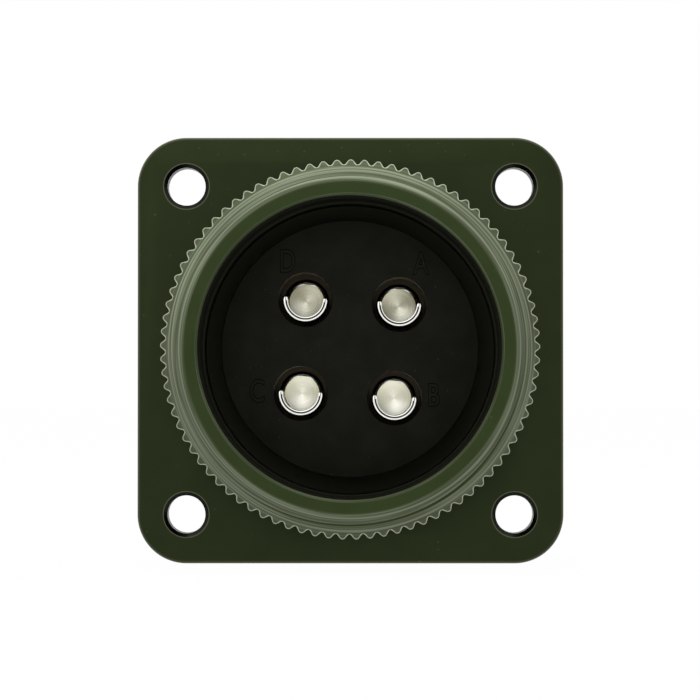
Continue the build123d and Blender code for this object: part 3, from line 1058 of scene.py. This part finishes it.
def silvered(letter, centre, lit_from, warm, bright):
    """Silver plate over turned brass, rings about the contact's own axis, painted highlights and painted shadow."""
    finish = Finish(f"silvered_{letter}", Metallic=1.0)
    place, x, y, z = finish.place((centre[0], centre[1], 0))
    tarnish = finish.noise(place, *TARNISH)
    radius = (x * x + y * y).maths("SQRT")
    stretched = {0: radius * TURNING_STRETCH, 1: x * TURNING_DRIFT, 2: y * TURNING_DRIFT}
    rings = finish.noise(finish.node("ShaderNodeCombineXYZ", {}, stretched), 1.0, 2.0)
    # A painted bow-tie highlight, turned towards the light, mixed with the rings and the tarnish.
    around = y.maths("ARCTAN2", x)
    painted_bow_tie = ((around - math.radians(lit_from)) * 2.0).maths("COSINE")
    bow_tie_and_tarnish = 0.5 + BOW_TIE_PAINT_SHARE * painted_bow_tie + 0.5 * (rings - 0.5) + 0.4 * (tarnish - 0.5)
    silver = finish.blend(finish.band(bow_tie_and_tarnish, 0.0, 1.0), warm, bright)
    # Painted highlight on the cut rims and on an arc atop the cup's floor.
    rim = finish.band(z, cup_rim - 0.3, cup_rim - 0.2)
    arc_highlight = finish.band(y, 1.0, 1.2) * finish.band(radius, cup_bore - 0.01, cup_bore + 0.01)
    arc_highlight *= finish.band(z, cut_height - 0.1, cut_height)
    silver = finish.blend(rim.maths("MAXIMUM", arc_highlight), silver, PAINTED_RIM_HIGHLIGHT)
    # Painted dark line on the chamfer under the rim.
    groove_sum = (CUP_BORE + RIM_STEP + RIM_GROOVE) / MM - cup_rim
    groove_painted_dark = near(finish, radius - z, groove_sum, 0.025, 0.05)
    groove_painted_dark *= finish.band(z, cup_rim - 0.2, cup_rim - 0.15)
    silver = finish.blend(groove_painted_dark, silver, GROOVE_PAINTED_DARK)
    # Painted shadow on the barrel behind the cut, deep in the well.
    barrel_painted_shadow = 1 - finish.band(z, cut_height - 0.45, cut_height - 0.15)
    barrel_painted_shadow *= finish.band(radius, cup_bore + 0.03, cup_bore + 0.09)
    finish.feed("Base Color", finish.blend(barrel_painted_shadow, silver, BARREL_SHADE))
    finish.feed("Roughness", 0.24 + 0.1 * tarnish)
    finish.bump(rings, GRAIN_BUMP, 0.6)
    return finish


STEEL_GRAIN = (6.0, 3.0)
STEEL_DARK = (0.50, 0.50, 0.50, 1.0)
STEEL_PALE = (0.62, 0.62, 0.61, 1.0)


def spring_steel():
    """Plain bright steel with a light grain."""
    finish = Finish("spring_steel", Metallic=1.0)
    place, x, y, z = finish.place()
    grain = finish.noise(place, *STEEL_GRAIN)
    finish.feed("Base Color", finish.blend(grain, STEEL_DARK, STEEL_PALE))
    finish.feed("Roughness", 0.26 + 0.1 * grain)
    return finish


DULL_SILVER = ((0.40, 0.39, 0.29, 1.0), (0.80, 0.79, 0.66, 1.0))
CLEAN_SILVER = ((0.72, 0.71, 0.58, 1.0), (0.98, 0.97, 0.86, 1.0))
# Each contact's first number turns its painted bow-tie highlight.
PLATE = {
    "a": (118, *DULL_SILVER),
    "b": (98, *CLEAN_SILVER),
    "c": (80, *CLEAN_SILVER),
    "d": (50, *DULL_SILVER),
}
for letter, centre in zip(CONTACT_LETTERS, contact_places):
    dress(contacts[letter], silvered(letter, centre, *PLATE[letter]))
steel = spring_steel()
for name in ["wave_washer"] + [f"contact_hood_{letter}" for letter in CONTACT_LETTERS]:
    dress(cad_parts[name], steel)
print("silver finishes on the contacts, steel on the hoods and the washer")

# %% [markdown]
# ## Light, floor and camera
#
# The picture looks straight into the cable end against pure white. So the floor and the world are white to the
# camera, in reflections and through clear things, and dim to dull surfaces. The floor keeps a trace of its own
# shade, and so of the object's shadow. Wide lamps stand around the connector's axis and light its chamfers and
# flanks, while the faces that look at the camera mirror only the white. The camera is far off with a long lens. It
# leans by less than a degree, and its shift of under half a pixel only sets the flange's edges in the frame.

# %% The camera
SENSOR_WIDTH = 36.0
CAMERA_DISTANCE = 273 * MM
PIXELS_PER_MM = 11.18
IMAGE_PIXELS = 700
SHIFT_PIXELS = (-0.4, 0.35)
LEAN_X = math.radians(0.22)
LEAN_Z = math.radians(-0.81)
camera_data = bpy.data.cameras.new("camera")
camera = bpy.data.objects.new("camera", camera_data)
bpy.context.collection.objects.link(camera)
camera_data.sensor_width = SENSOR_WIDTH
camera_data.lens = SENSOR_WIDTH * PIXELS_PER_MM * (CAMERA_DISTANCE / MM) / IMAGE_PIXELS
camera_data.shift_x = SHIFT_PIXELS[0] / IMAGE_PIXELS
camera_data.shift_y = SHIFT_PIXELS[1] / IMAGE_PIXELS
camera_data.clip_start = 0.01
camera_data.clip_end = 10.0
camera.location = (
    CAMERA_DISTANCE * math.tan(LEAN_X), -CAMERA_DISTANCE, CAMERA_DISTANCE * math.tan(LEAN_Z)
)
camera.rotation_euler = camera.location.to_track_quat("Z", "Y").to_euler()
bpy.context.scene.camera = camera
print("lens", round(camera_data.lens, 1), "mm")

# %% The floor and the sky
FLOOR_HALF = 3.0
SKY_STRENGTH = 0.6
FLOOR_SHOWS = 0.02
WHITE = (1, 1, 1, 1)
WHITE_RAYS = ("Is Glossy Ray", "Is Transmission Ray")
start_fresh()
bpy.ops.mesh.primitive_plane_add(size=2 * FLOOR_HALF, location=(0, 0, -flange_half))
floor = bpy.context.object
floor.name = "floor"
settle(floor)
floor_finish = Finish("white_table", Base_Color=(0.9, 0.9, 0.9, 1.0), Roughness=0.8)
glow = floor_finish.node("ShaderNodeEmission", {}, {"Color": WHITE, "Strength": 1.0})
shown = floor_finish.node("ShaderNodeLightPath", output="Is Camera Ray")
shown_rays = shown.socket.node
for kind in WHITE_RAYS:
    shown = shown.maths("MAXIMUM", Signal(floor_finish, shown_rays.outputs[kind]))
mixed = floor_finish.node("ShaderNodeMixShader", {}, {0: shown * (1 - FLOOR_SHOWS), 2: glow})
floor_finish.tree.links.new(floor_finish.shader.outputs[0], mixed.socket.node.inputs[1])
floor_finish.tree.links.new(mixed.socket, floor_finish.tree.nodes["Material Output"].inputs[0])
dress(floor, floor_finish)

world = bpy.data.worlds.new("sky")
bpy.context.scene.world = world
world.use_nodes = True
background = world.node_tree.nodes["Background"]
background.inputs["Color"].default_value = WHITE
sky_rays = world.node_tree.nodes.new("ShaderNodeLightPath")
sky_seen = sky_rays.outputs["Is Camera Ray"]
for kind in WHITE_RAYS:
    either = world.node_tree.nodes.new("ShaderNodeMath")
    either.operation = "MAXIMUM"
    world.node_tree.links.new(sky_seen, either.inputs[0])
    world.node_tree.links.new(sky_rays.outputs[kind], either.inputs[1])
    sky_seen = either.outputs[0]
sky_range = world.node_tree.nodes.new("ShaderNodeMapRange")
sky_range.inputs["To Min"].default_value = SKY_STRENGTH
world.node_tree.links.new(sky_seen, sky_range.inputs["Value"])
world.node_tree.links.new(sky_range.outputs[0], background.inputs["Strength"])
print("floor at", round(-flange_half / MM, 2), "mm")

# %% [markdown]
# Each lamp round the axis has a turn, counted from the right as the photograph sees it, and a power in watts. They
# stand a little towards the camera, so that they graze the faces and strike the chamfers.


# %% The lamps
def lamp(name, place, size, power):
    """A square area lamp that faces the object."""
    data = bpy.data.lights.new(name, "AREA")
    data.size = size
    data.energy = power
    made = bpy.data.objects.new(name, data)
    bpy.context.collection.objects.link(made)
    made.location = place
    made.rotation_euler = made.location.to_track_quat("Z", "Y").to_euler()
    return made


LAMP_DISTANCE = 0.4
LAMP_FORWARD = 0.03
LAMP_SIZE = 0.4
LAMPS = {"upper_right": (48, 0.22), "top": (90, 0.52), "upper_left": (132, 0.28), "left": (175, 0.2)}
FRONT_PLACE = (-0.12, -0.6, 0.25)
FRONT_POWER = 0.3
for name, (turn, power) in LAMPS.items():
    angle = math.radians(turn)
    place = (LAMP_DISTANCE * math.cos(angle), -LAMP_FORWARD, LAMP_DISTANCE * math.sin(angle))
    lamp(name, place, LAMP_SIZE, power)
lamp("front", FRONT_PLACE, LAMP_SIZE, FRONT_POWER)
bpy.context.scene.view_settings.view_transform = "Standard"
